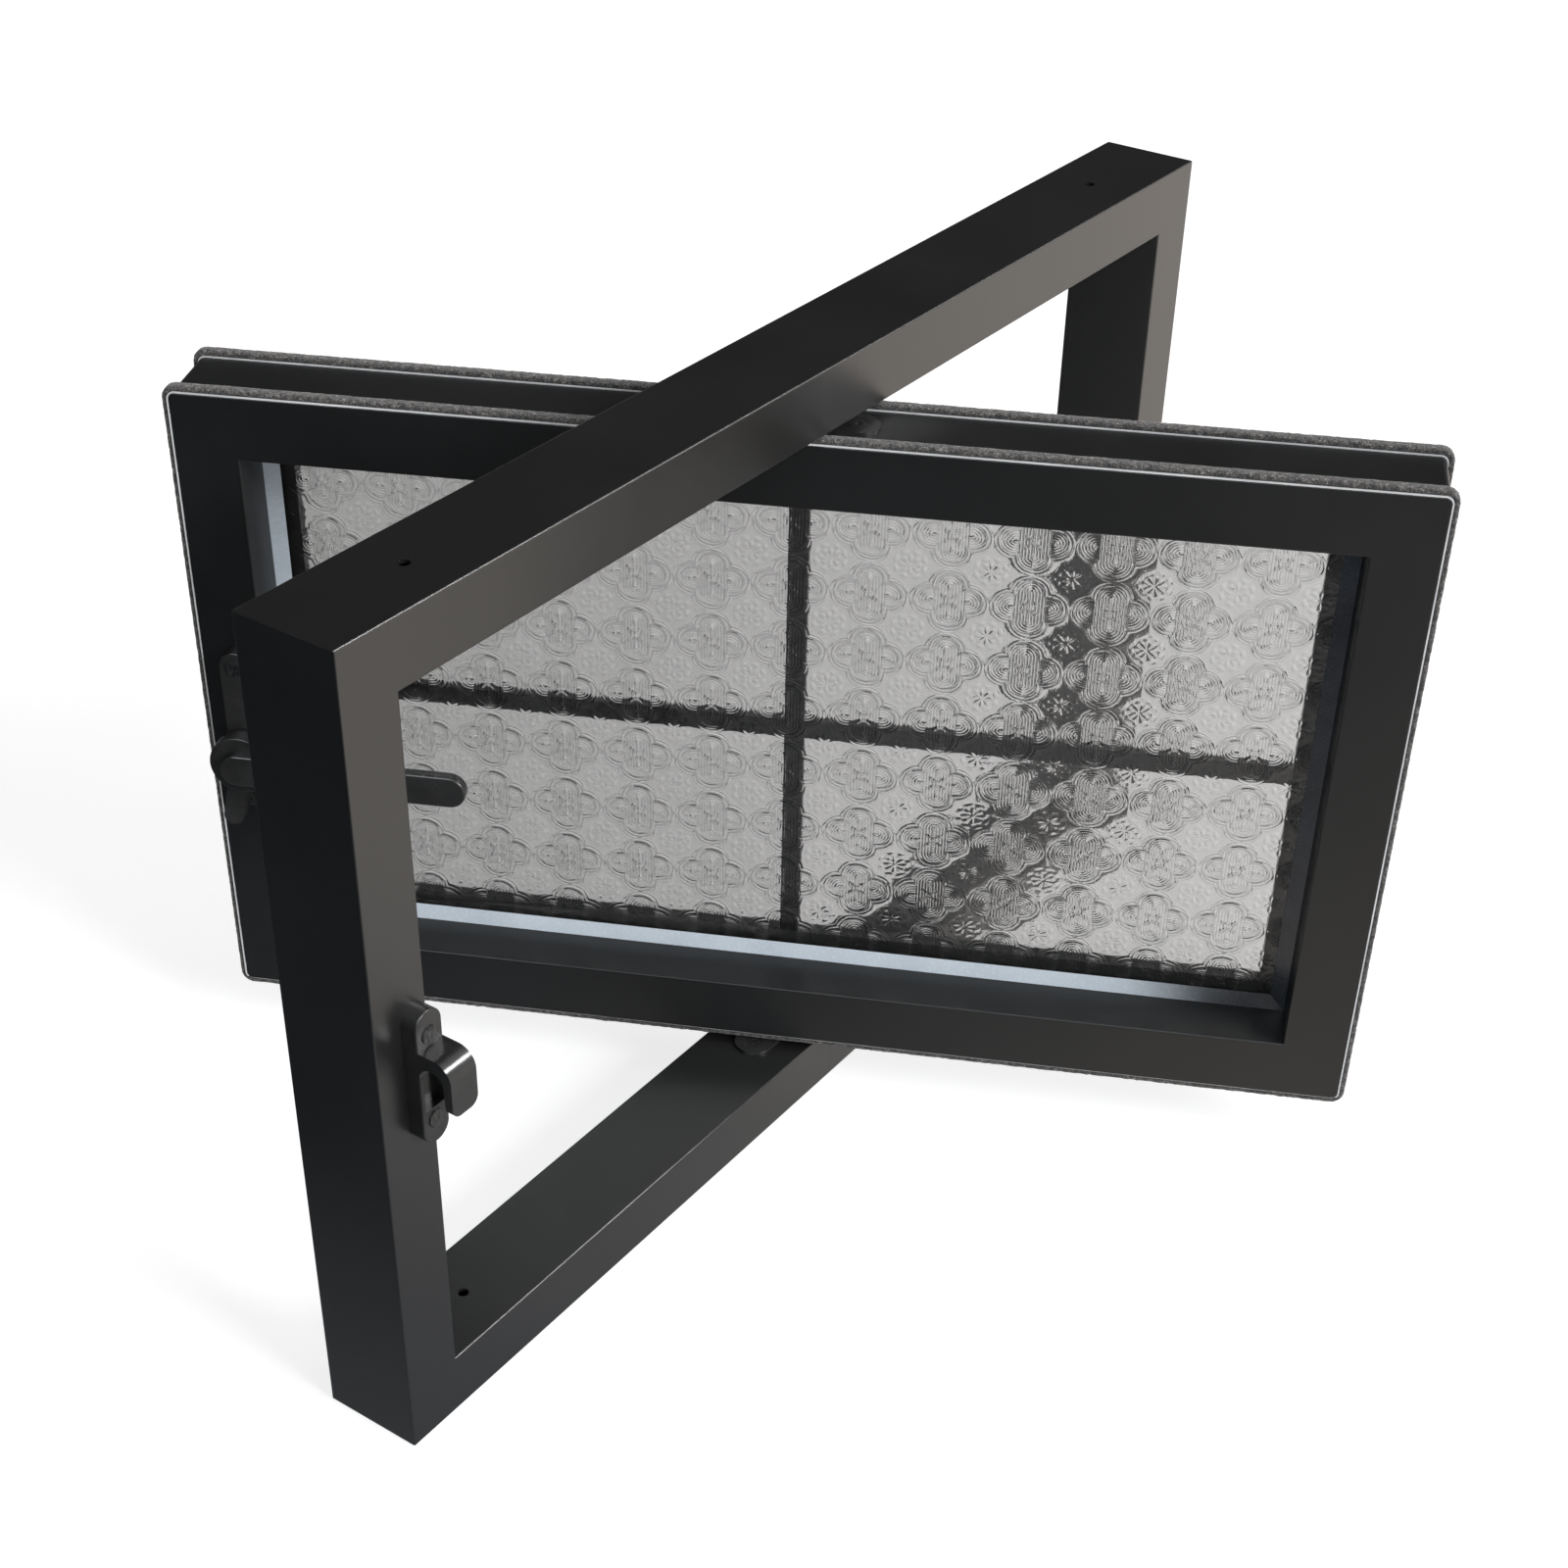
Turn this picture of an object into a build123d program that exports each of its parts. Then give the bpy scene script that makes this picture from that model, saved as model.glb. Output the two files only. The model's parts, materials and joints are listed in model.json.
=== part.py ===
from build123d import *
import os
from math import cos, radians, sin

os.makedirs("parts", exist_ok=True)

# A small metal window whose glazed sash turns on a vertical pivot at the middle of its frame.
# Origin: middle of the frame's underside. X runs along the frame, Y goes inwards, Z is up.

# Frame: four box sections, mitred and welded
frame_width = 800.0
frame_height = 500.0
frame_depth = 62.0
frame_face = 38.0
frame_wall = 2.0
frame_rounding = 1.0
frame_edge = 0.9
fixing_inset = 80.0
fixing_radius = 3.25

# Sash: four sections with a rebate for the glass, turned to the opening angle shown
open_angle = 64.0
sash_gap = 7.0
sash_depth = 60.0
sash_face = 38.0
sash_wall = 2.0
sash_corner = 4.0
sash_rounding = 0.8
reveal_depth = 38.0
rebate_width = 12.0

# Sealed glass unit, its bars, and the gasket and bead that hold it
pane_thickness = 4.0
pane_space = 10.0
pane_clearance = 2.0
spacer_edge = 2.0
spacer_margin = 17.5
bar_width = 12.0
bar_thickness = 6.0
gasket_width = 9.5
gasket_height = 3.0
bead_chamfer = 2.0

# Brush seals on the sash's rim, one near each face
brush_width = 7.5
brush_setback = 0.5
brush_rounding = 1.8
brush_clearance = 0.5

# Pivots at the middle of the head and the sill
plate_thickness = 1.8
plate_width = 25.0
plate_screw_offset = 34.0
pin_radius = 6.0
pin_fit = 0.05
pin_reach = 8.0
pin_hole_radius = 7.0
washer_radius = 11.0

# Screws
screw_shank = 2.2
screw_head = 5.2
screw_fit = 0.1
screw_length = 8.0
screw_grip = 6.0
screw_hole_depth = 8.0
head_sink = 1.0
socket_radius = 2.2
socket_depth = 0.7
cap_height = 0.8

# Latch: a hooked keeper on the left jamb and a lever on the left stile
keeper_width = 19.0
keeper_height = 83.0
keeper_rise = -0.5
keeper_base = 10.0
keeper_screw_offset = 26.7
tongue_thickness = 5.0
tongue_root = 8.0
tongue_top = 21.0
tongue_length = 32.5
tongue_bend = 11.0
tongue_corner = 6.0
tongue_overlap = 1.0
recess_width = 14.0
recess_height = 25.0
recess_depth = 5.0
recess_bottom = 22.5
latch_edge = 0.8

handle_inset = 24.0
handle_drop = 24.0
handle_base_width = 20.0
handle_base_above = 71.0
handle_base_below = 36.0
handle_base_thickness = 12.0
handle_screw_inset = 10.0
spindle_radius = 6.0
spindle_fit = 0.05
spindle_end_gap = 1.0
cam_radius = 19.0
nose_width = 12.0
nose_thickness = 10.0
nose_step = 1.2
nose_clearance = 3.0
nose_bite = 12.7
nose_lift = 13.0
lever_length = 143.0
lever_width = 21.0
lever_thickness = 7.0
lever_edge = 1.6

# Worked out from the sizes above
opening_width = frame_width - 2 * frame_face
opening_height = frame_height - 2 * frame_face
sash_width = opening_width - 2 * sash_gap
sash_height = opening_height - 2 * sash_gap
light_width = sash_width - 2 * sash_face
light_height = sash_height - 2 * sash_face
middle = frame_height / 2
glass_front = reveal_depth - sash_depth / 2
glass_inner = glass_front + pane_thickness
glass_outer = glass_inner + pane_space
glass_back = glass_outer + pane_thickness
brush_height = sash_gap - plate_thickness - brush_clearance
washer_thickness = sash_gap - 2 * plate_thickness
keeper_front = frame_depth / 2 + keeper_base
cam_back = keeper_front + nose_clearance
cam_front = cam_back + nose_thickness
tongue_inner = cam_front + nose_clearance
tongue_outer = tongue_inner + tongue_thickness
keeper_x = -opening_width / 2 - keeper_width / 2
handle_x = -sash_width / 2 + handle_inset
nose_reach = (handle_inset + sash_gap + nose_bite) / cos(radians(nose_lift))
nose_angle = 270 - nose_lift

keeper_screws = [
    (keeper_x, keeper_rise + keeper_screw_offset),
    (keeper_x, keeper_rise - keeper_screw_offset),
]
handle_screws = [
    (handle_x, handle_base_above - handle_drop - handle_screw_inset),
    (handle_x, handle_screw_inset - handle_base_below - handle_drop),
]
turned = -open_angle
brush_backs = (sash_depth / 2 - brush_setback, brush_setback + brush_width - sash_depth / 2)

SIDES = ("top", "bottom", "left", "right")


def facing(depth, turn=0.0):
    """The plane parallel to a face, depth behind the pivot; its normal points to the front."""
    t = radians(turn)
    return Plane(
        origin=(-sin(t) * depth, cos(t) * depth, middle),
        x_dir=(cos(t), sin(t), 0),
        z_dir=(sin(t), -cos(t), 0),
    )


def level(z, turn=0.0, up=1):
    """The horizontal plane at height z, its x along the frame or the sash, its normal up or down."""
    t = radians(turn)
    return Plane(origin=(0, 0, z), x_dir=(cos(t), sin(t), 0), z_dir=(0, 0, up))


def side_wedge(side, width, height, reach):
    """Corners of one mitred side of a width by height ring, reach wide."""
    w, h, r = width / 2, height / 2, reach
    upright = side in ("left", "right")
    sign = 1 if side in ("top", "right") else -1
    a, b = (h, w) if upright else (w, h)
    corners = [(-a, b * sign), (a, b * sign), (a - r, (b - r) * sign), (r - a, (b - r) * sign)]
    return [(y, x) for x, y in corners] if upright else corners


def finish(builder, name):
    """Label a finished piece and write its file."""
    builder.part.label = name
    export_step(builder.part, f"parts/{name}.step")


# Frame members
FRAME_NAMES = {
    "top": "frame_top_rail",
    "bottom": "frame_bottom_rail",
    "left": "frame_left_jamb",
    "right": "frame_right_jamb",
}
front_axis = Axis((0, 0, 0), (0, -1, 0))
for side in SIDES:
    with BuildPart() as frame_member:
        with BuildSketch(facing(frame_depth / 2)):
            RectangleRounded(frame_width, frame_height, frame_rounding)
            Rectangle(opening_width, opening_height, mode=Mode.SUBTRACT)
        extrude(amount=frame_depth)
        end_faces = frame_member.faces().sort_by(front_axis)
        fillet(end_faces[0].edges() + end_faces[-1].edges(), frame_edge)
        with BuildSketch(facing(frame_depth / 2 - frame_wall)):
            Rectangle(frame_width - 2 * frame_wall, frame_height - 2 * frame_wall)
            Rectangle(
                opening_width + 2 * frame_wall, opening_height + 2 * frame_wall, mode=Mode.SUBTRACT
            )
        extrude(amount=frame_depth - 2 * frame_wall, mode=Mode.SUBTRACT)
        with BuildSketch(level(0)):
            with Locations((frame_width / 2 - fixing_inset, 0), (fixing_inset - frame_width / 2, 0)):
                Circle(fixing_radius)
        extrude(amount=frame_height, mode=Mode.SUBTRACT)
        with BuildSketch(level(frame_face - 2 * frame_wall)):
            with GridLocations(2 * plate_screw_offset, 1, 2, 1):
                Circle(screw_shank + screw_fit)
        extrude(amount=opening_height + 4 * frame_wall, mode=Mode.SUBTRACT)
        with BuildSketch(facing(-frame_depth / 2)):
            with Locations(*keeper_screws):
                Circle(screw_shank + screw_fit)
        extrude(amount=-screw_hole_depth, mode=Mode.SUBTRACT)
        with BuildSketch(facing(frame_depth / 2)):
            Polygon(*side_wedge(side, frame_width, frame_height, frame_face), align=None)
        extrude(amount=frame_depth, mode=Mode.INTERSECT)
    finish(frame_member, FRAME_NAMES[side])

# Keeper: a base on the left jamb with an arched recess, and a tongue that hooks down over it
with BuildPart() as latch_keeper:
    with BuildSketch(facing(-frame_depth / 2)):
        with Locations((keeper_x, keeper_rise)):
            SlotOverall(keeper_height, keeper_width, rotation=90)
    extrude(amount=keeper_base)
    fillet(latch_keeper.faces().sort_by(front_axis)[-1].edges(), latch_edge)
    with BuildSketch(facing(-keeper_front)):
        with Locations((keeper_x, keeper_rise - keeper_height / 2 + recess_bottom)):
            Rectangle(recess_width, recess_height - recess_width / 2, align=(Align.CENTER, Align.MIN))
            with Locations((0, recess_height - recess_width / 2)):
                Circle(recess_width / 2)
    extrude(amount=-recess_depth, mode=Mode.SUBTRACT)
    top = keeper_height / 2 - tongue_top
    tip = top - tongue_length
    spring = top - tongue_root - (tongue_inner - keeper_front) / 2
    tongue_start = tongue_overlap - keeper_front
    keeper_side = Plane(
        origin=(keeper_x - keeper_width / 2, 0, middle + keeper_rise), x_dir=(0, 1, 0), z_dir=(1, 0, 0)
    )
    with BuildSketch(keeper_side):
        with BuildLine():
            Polyline((tongue_start, top), (tongue_bend - tongue_outer, top))
            RadiusArc((tongue_bend - tongue_outer, top), (-tongue_outer, top - tongue_bend), -tongue_bend)
            Polyline(
                (-tongue_outer, top - tongue_bend),
                (-tongue_outer, tip),
                (-tongue_inner, tip),
                (-tongue_inner, spring),
            )
            ThreePointArc(
                (-tongue_inner, spring),
                (-(tongue_inner + keeper_front) / 2, top - tongue_root),
                (-keeper_front, spring),
            )
            Polyline((-keeper_front, spring), (tongue_start, spring), (tongue_start, top))
        make_face()
    extrude(amount=keeper_width)
    with BuildSketch(facing(tongue_overlap - tongue_inner)):
        with Locations((keeper_x, keeper_rise + tip)):
            Rectangle(keeper_width, tongue_corner, align=(Align.CENTER, Align.MIN))
            RectangleRounded(
                keeper_width,
                tongue_length,
                tongue_corner,
                align=(Align.CENTER, Align.MIN),
                mode=Mode.SUBTRACT,
            )
    extrude(amount=tongue_thickness + 2 * tongue_overlap, mode=Mode.SUBTRACT)
    with BuildSketch(facing(-keeper_front)):
        with Locations(*keeper_screws):
            Circle(screw_shank + screw_fit)
    extrude(amount=-keeper_base, mode=Mode.SUBTRACT)
finish(latch_keeper, "latch_keeper")

with BuildPart() as keeper_caps:
    with BuildSketch(facing(-keeper_front)):
        with Locations(*keeper_screws):
            Circle(screw_head)
    extrude(amount=cap_height)
    with BuildSketch(facing(-keeper_front)):
        with Locations(*keeper_screws):
            Circle(screw_shank)
    extrude(amount=-(keeper_base + screw_grip))
finish(keeper_caps, "keeper_screws")

# Pivot plates, pins, washers and screws at the sill and the head
ENDS = {"bottom": (frame_face, 1), "top": (frame_height - frame_face, -1)}
for end, (seat, up) in ENDS.items():
    with BuildPart() as frame_plate:
        with BuildSketch(level(seat, 0, up)):
            SlotOverall(2 * plate_screw_offset + plate_width, plate_width)
            with GridLocations(2 * plate_screw_offset, 1, 2, 1):
                Circle(screw_shank + screw_fit, mode=Mode.SUBTRACT)
        extrude(amount=plate_thickness)
        with BuildSketch(level(seat + up * plate_thickness, 0, up)):
            with GridLocations(2 * plate_screw_offset, 1, 2, 1):
                Circle(screw_head + screw_fit)
        extrude(amount=-head_sink, mode=Mode.SUBTRACT)
        with BuildSketch(level(seat, 0, up)):
            Circle(pin_radius)
        extrude(amount=sash_gap + pin_reach)
    finish(frame_plate, f"frame_pivot_plate_{end}")

    rim = seat + up * sash_gap
    with BuildPart() as sash_plate:
        with BuildSketch(level(rim, turned, -up)):
            SlotOverall(2 * plate_screw_offset + plate_width, plate_width)
            Circle(pin_radius + pin_fit, mode=Mode.SUBTRACT)
            with GridLocations(2 * plate_screw_offset, 1, 2, 1):
                Circle(screw_shank + screw_fit, mode=Mode.SUBTRACT)
        extrude(amount=plate_thickness)
        with BuildSketch(level(rim - up * plate_thickness, turned, -up)):
            with GridLocations(2 * plate_screw_offset, 1, 2, 1):
                Circle(screw_head + screw_fit)
        extrude(amount=-head_sink, mode=Mode.SUBTRACT)
    finish(sash_plate, f"sash_pivot_plate_{end}")

with BuildPart() as pivot_washers:
    for seat, up in ENDS.values():
        with BuildSketch(level(seat + up * plate_thickness, 0, up)):
            Circle(washer_radius)
            Circle(pin_radius + screw_fit, mode=Mode.SUBTRACT)
        extrude(amount=washer_thickness)
finish(pivot_washers, "pivot_washers")

for name, turn, rise in (("frame_pivot_screws", 0, 0), ("sash_pivot_screws", turned, sash_gap)):
    with BuildPart() as plate_screws:
        for seat, up in ENDS.values():
            facing_up = up if rise == 0 else -up
            outside = seat + up * rise + facing_up * plate_thickness
            with BuildSketch(level(outside, turn, facing_up)):
                with GridLocations(2 * plate_screw_offset, 1, 2, 1):
                    Circle(screw_shank)
            extrude(amount=-screw_length)
            with BuildSketch(level(outside, turn, facing_up)):
                with GridLocations(2 * plate_screw_offset, 1, 2, 1):
                    Circle(screw_head)
            extrude(amount=-head_sink)
            with BuildSketch(level(outside, turn, facing_up)):
                with GridLocations(2 * plate_screw_offset, 1, 2, 1):
                    RegularPolygon(socket_radius, 6)
            extrude(amount=-socket_depth, mode=Mode.SUBTRACT)
    finish(plate_screws, name)

# Sash members
SASH_NAMES = {
    "top": "sash_top_rail",
    "bottom": "sash_bottom_rail",
    "left": "sash_left_stile",
    "right": "sash_right_stile",
}
sash_axis = Axis((0, 0, 0), facing(0, turned).z_dir)
for side in SIDES:
    with BuildPart() as sash_member:
        with BuildSketch(facing(sash_depth / 2, turned)):
            RectangleRounded(sash_width, sash_height, sash_corner)
            Rectangle(light_width, light_height, mode=Mode.SUBTRACT)
        extrude(amount=sash_depth)
        end_faces = sash_member.faces().sort_by(sash_axis)
        fillet(end_faces[0].edges() + end_faces[-1].edges(), sash_rounding)
        with BuildSketch(facing(sash_depth / 2, turned)):
            Rectangle(light_width + 2 * rebate_width, light_height + 2 * rebate_width)
        extrude(amount=sash_depth / 2 - glass_front, mode=Mode.SUBTRACT)
        with BuildSketch(facing(sash_depth / 2 - sash_wall, turned)):
            Rectangle(sash_width - 2 * sash_wall, sash_height - 2 * sash_wall)
            Rectangle(
                light_width + 2 * (rebate_width + sash_wall),
                light_height + 2 * (rebate_width + sash_wall),
                mode=Mode.SUBTRACT,
            )
        extrude(amount=sash_depth - 2 * sash_wall, mode=Mode.SUBTRACT)
        with BuildSketch(facing(glass_front - sash_wall, turned)):
            Rectangle(light_width + 2 * rebate_width, light_height + 2 * rebate_width)
            Rectangle(light_width + 2 * sash_wall, light_height + 2 * sash_wall, mode=Mode.SUBTRACT)
        extrude(amount=reveal_depth - 2 * sash_wall, mode=Mode.SUBTRACT)
        for seat, up in ENDS.values():
            with BuildSketch(level(seat + up * sash_gap, turned, up)):
                Circle(pin_hole_radius)
                with GridLocations(2 * plate_screw_offset, 1, 2, 1):
                    Circle(screw_shank + screw_fit)
            extrude(amount=2 * sash_wall, mode=Mode.SUBTRACT)
        with BuildSketch(facing(-sash_depth / 2, turned)):
            with Locations(*handle_screws):
                Circle(screw_shank + screw_fit)
        extrude(amount=-screw_hole_depth, mode=Mode.SUBTRACT)
        with BuildSketch(facing(sash_depth / 2, turned)):
            Polygon(*side_wedge(side, sash_width, sash_height, sash_face), align=None)
        extrude(amount=sash_depth, mode=Mode.INTERSECT)
    finish(sash_member, SASH_NAMES[side])

# Front gaskets: a sloping strip in the corner between the reveal and the glass
for side in SIDES:
    with BuildPart() as gasket:
        with BuildSketch(facing(glass_front, turned)):
            Rectangle(light_width, light_height)
        extrude(amount=gasket_height)
        with BuildSketch(facing(glass_front, turned)):
            Rectangle(light_width - 2 * gasket_width, light_height - 2 * gasket_width)
        with BuildSketch(facing(glass_front - gasket_height, turned)):
            Rectangle(light_width, light_height)
        loft(mode=Mode.SUBTRACT)
        with BuildSketch(facing(glass_front, turned)):
            Polygon(*side_wedge(side, light_width, light_height, gasket_width), align=None)
        extrude(amount=gasket_height, mode=Mode.INTERSECT)
    finish(gasket, f"glazing_gasket_{side}")

# Back beads: they fill the rebate behind the glass
for side in SIDES:
    with BuildPart() as bead:
        with BuildSketch(facing(sash_depth / 2, turned)):
            Rectangle(light_width + 2 * rebate_width, light_height + 2 * rebate_width)
            Rectangle(light_width, light_height, mode=Mode.SUBTRACT)
        extrude(amount=sash_depth / 2 - glass_back)
        chamfer(bead.faces().sort_by(sash_axis)[0].inner_wires()[0].edges(), bead_chamfer)
        with BuildSketch(facing(sash_depth / 2, turned)):
            bead_width, bead_height = light_width + 2 * rebate_width, light_height + 2 * rebate_width
            Polygon(*side_wedge(side, bead_width, bead_height, rebate_width), align=None)
        extrude(amount=sash_depth / 2 - glass_back, mode=Mode.INTERSECT)
    finish(bead, f"glazing_bead_{side}")

# Sealed glass unit
pane_width = light_width + 2 * (rebate_width - pane_clearance)
pane_height = light_height + 2 * (rebate_width - pane_clearance)
for name, back in (("front_glass", glass_inner), ("back_glass", glass_back)):
    with BuildPart() as pane:
        with BuildSketch(facing(back, turned)):
            Rectangle(pane_width, pane_height)
        extrude(amount=pane_thickness)
    finish(pane, name)

inside_width = light_width - 2 * spacer_margin
inside_height = light_height - 2 * spacer_margin
with BuildPart() as spacer:
    with BuildSketch(facing(glass_outer, turned)):
        Rectangle(pane_width - 2 * spacer_edge, pane_height - 2 * spacer_edge)
        Rectangle(inside_width, inside_height, mode=Mode.SUBTRACT)
    extrude(amount=pane_space)
finish(spacer, "glass_spacer")

with BuildPart() as glazing_bars:
    with BuildSketch(facing((glass_inner + glass_outer + bar_thickness) / 2, turned)):
        Rectangle(bar_width, inside_height)
        Rectangle(inside_width, bar_width)
    extrude(amount=bar_thickness)
finish(glazing_bars, "glazing_bars")

# Brush seals, the front and the rear strip of each side
for side in SIDES:
    with BuildPart() as brush:
        for back in brush_backs:
            with BuildSketch(facing(back, turned)):
                RectangleRounded(
                    sash_width + 2 * brush_height, sash_height + 2 * brush_height, sash_corner + brush_height
                )
                RectangleRounded(sash_width, sash_height, sash_corner, mode=Mode.SUBTRACT)
            extrude(amount=brush_width)
            ends = brush.faces(Select.LAST).sort_by(sash_axis)
            fillet(ends[0].outer_wire().edges() + ends[-1].outer_wire().edges(), brush_rounding)
        with BuildSketch(facing(sash_depth / 2, turned)):
            brush_w, brush_h = sash_width + 2 * brush_height, sash_height + 2 * brush_height
            Polygon(*side_wedge(side, brush_w, brush_h, brush_height + sash_corner), align=None)
        extrude(amount=sash_depth, mode=Mode.INTERSECT)
    finish(brush, f"brush_seal_{side}")

# Latch on the left stile: its base, the cam with its nose and spindle, and the lever
with BuildPart() as handle_base:
    base_length = handle_base_above + handle_base_below
    with BuildSketch(facing(-sash_depth / 2, turned)):
        with Locations((handle_x, (handle_base_above - handle_base_below) / 2 - handle_drop)):
            SlotOverall(base_length, handle_base_width, rotation=90)
    extrude(amount=handle_base_thickness)
    fillet(handle_base.faces().sort_by(sash_axis)[-1].edges(), latch_edge)
    with BuildSketch(facing(-sash_depth / 2, turned)):
        with Locations((handle_x, -handle_drop)):
            Circle(spindle_radius + spindle_fit)
        with Locations(*handle_screws):
            Circle(screw_shank + screw_fit)
    extrude(amount=handle_base_thickness, mode=Mode.SUBTRACT)
finish(handle_base, "handle_base")

with BuildPart() as handle_caps:
    with BuildSketch(facing(-sash_depth / 2 - handle_base_thickness, turned)):
        with Locations(*handle_screws):
            Circle(screw_head)
    extrude(amount=cap_height)
    with BuildSketch(facing(-sash_depth / 2 - handle_base_thickness, turned)):
        with Locations(*handle_screws):
            Circle(screw_shank)
    extrude(amount=-(handle_base_thickness + screw_grip))
finish(handle_caps, "handle_screws")

with BuildPart() as latch_cam:
    nose_centre = (nose_reach - nose_width / 2) / 2
    nose_turn = radians(nose_angle)
    with BuildSketch(facing(-cam_back, turned)):
        with Locations((handle_x, -handle_drop)):
            Circle(cam_radius)
    extrude(amount=nose_thickness)
    fillet(latch_cam.edges().sort_by(sash_axis)[-1], latch_edge)
    with BuildSketch(facing(-cam_back, turned)):
        with Locations((handle_x, -handle_drop)):
            with Locations((nose_centre * cos(nose_turn), nose_centre * sin(nose_turn))):
                SlotCenterToCenter(2 * nose_centre, nose_width, rotation=nose_angle)
    extrude(amount=nose_thickness - nose_step)
    with BuildSketch(facing(-cam_back, turned)):
        with Locations((handle_x, -handle_drop)):
            Circle(spindle_radius)
    extrude(amount=-(cam_back - sash_depth / 2 - spindle_end_gap))
finish(latch_cam, "latch_cam")

with BuildPart() as latch_lever:
    lever_reach = lever_length - lever_width / 2
    with BuildSketch(facing(-cam_front, turned)):
        with Locations((handle_x + lever_reach / 2, -handle_drop)):
            SlotCenterToCenter(lever_reach, lever_width)
    extrude(amount=lever_thickness)
    fillet(latch_lever.faces().sort_by(sash_axis)[-1].edges(), lever_edge)
finish(latch_lever, "latch_lever")
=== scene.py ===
import json
from math import cos, pi, radians, sin, sqrt

import bmesh
import bpy
import numpy as np
from mathutils import Matrix, Vector


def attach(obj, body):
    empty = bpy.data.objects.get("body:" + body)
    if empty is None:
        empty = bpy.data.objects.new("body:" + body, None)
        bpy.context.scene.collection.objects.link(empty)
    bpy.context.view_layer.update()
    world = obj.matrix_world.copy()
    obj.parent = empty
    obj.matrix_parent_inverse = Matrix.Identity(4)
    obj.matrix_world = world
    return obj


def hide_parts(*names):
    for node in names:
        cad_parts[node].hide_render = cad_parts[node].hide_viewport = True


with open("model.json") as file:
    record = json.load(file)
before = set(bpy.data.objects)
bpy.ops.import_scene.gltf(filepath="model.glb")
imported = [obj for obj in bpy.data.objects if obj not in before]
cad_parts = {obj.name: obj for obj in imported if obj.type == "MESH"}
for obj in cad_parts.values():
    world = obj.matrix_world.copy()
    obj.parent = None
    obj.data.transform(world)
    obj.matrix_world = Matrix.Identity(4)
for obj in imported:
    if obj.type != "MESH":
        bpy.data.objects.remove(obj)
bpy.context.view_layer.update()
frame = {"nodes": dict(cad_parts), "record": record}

# A small black metal window, its sash open on a vertical pivot, with patterned glass and brush seals.
# Sizes are in millimetres until they reach a mesh. The sash's own frame has x along it, y inwards
# and z up from the pivot's mid-height.
NODES = frame["nodes"]
MM = 0.001
SEED = 7
SIDES = ("top", "bottom", "left", "right")

# The sash, as the solids have it
OPEN_ANGLE = 64
MID_HEIGHT = 250
SASH_WIDTH = 710
SASH_HEIGHT = 410
SASH_FACE = 38
SASH_DEPTH = 60
SASH_CORNER = 4
PANE_INSET = 28
GLASS_FRONT = 8
PANE_THICKNESS = 4
GASKET_WIDTH = 9.5
BRUSH_WIDTH = 7.5
BRUSH_SETBACK = 0.5
BRUSH_HEIGHT = 4.7
ALONG_SASH = (cos(radians(OPEN_ANGLE)), -sin(radians(OPEN_ANGLE)), 0.0)
SASH = Matrix.Translation((0, 0, MID_HEIGHT * MM)) @ Matrix.Rotation(radians(-OPEN_ANGLE), 4, "Z")

# The camera, in metres and degrees, and the photo's optical centre in its 1600-pixel frame
PHOTO_SIZE = 1600
CAMERA_PLACE = (-1.0709, -0.7262, 1.0333)
CAMERA_TURN = (53.093, -0.738, -54.608)
FOCAL_PIXELS = 2540.9
OPTICAL_CENTRE = (776.2, 1007.8)
SENSOR = 36

# The coat: how far its rounded edges reach, in metres, how much its streaks change the roughness, and
# from which share of a normal along a member's axis a face counts as its mitred end
EDGE_RADIUS = 0.0009
COAT_STREAK = 0.012
MITRE_SHARE = 0.02
UPRIGHT = (0.0, 0.0, 1.0)
LEVEL = (1.0, 0.0, 0.0)

# The pattern in the glass, drawn in a square cell and stretched to the cell's real size
CELL = 44
CELL_WIDTH = 46.5
CELL_HEIGHT = 41.6
CELL_START = (-3.7, -26.9)
LOBE_RADIUS = 8.8
LOBE_OFFSET = 10.3
RIDGE_GAP = 2.2
OUTLINE_EDGE = 2.9
RELIEF = 0.42
RELIEF_UNDER_GASKET = 1
WELD_DISTANCE = 0.02
TURN_STEPS = 48
# In metres, for cutting the sheet and for finding its cut rim
CUT_TOLERANCE = 1e-6
RIM_TOLERANCE = 1e-5
BLOSSOM_RINGS = (1.3, 2.6, 4.2, 6.0)
PETAL_RINGS = (0.3, 0.6, 0.82)
OUTLINE_RINGS = (-0.9, -0.1, 0.7, 1.4, 2.2, OUTLINE_EDGE)
DAISY_RINGS = (1.0, 2.2, 4.0, 6.4, 8.6, 10.2)
RIB_SPACING = 1.75
FIRST_RIDGE_INSET = 0.1
FIRST_RIDGE_WIDTH = 0.85
SECOND_RIDGE_WIDTH = OUTLINE_EDGE - RIDGE_GAP
BLOSSOM_EYE = 1.6
DAISY_EYE = 1.4
DAISY_PETALS = 8
# Petals are a reach from the centre, half their length and half their width
BLOSSOM_PETAL = (4.4, 2.8, 1.5)
ALMOND = (10.5, 3.6, 1.7)
DAISY_INNER = (4.3, 2.6, 1.1)
DAISY_OUTER = (8.4, 1.6, 1.2)

# Painted light and shade in the glass's colour: the direction in the sash's axes that is painted lighter,
# and each share.
# The furrows, painted darker, lie on either side of the first ridge. The painted brightness rises from left
# to right, over twice GLASS_HALF_SPAN, which is in metres.
SHADE_LIGHT = (0.55, 0, 0.83)
SHADE_LEAN = 0.36
SHADE_STEEP = -0.22
SHADE_LEVEL = 1.02
SHADE_RAISED = 0.10
SHADE_FURROW = -0.24
OUTER_FURROW = 1.2
INNER_FURROW = 1.3
FURROW_WIDTH = 0.45
GLASS_HALF_SPAN = 0.3
GLASS_SHADE_LEFT = 0.355
GLASS_SHADE_RIGHT = 0.58

# Where along the sash the sealing strip's painted shade starts and where it is full, in metres
STRIP_SHADE_START = 0.20
STRIP_SHADE_FULL = 0.30

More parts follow.
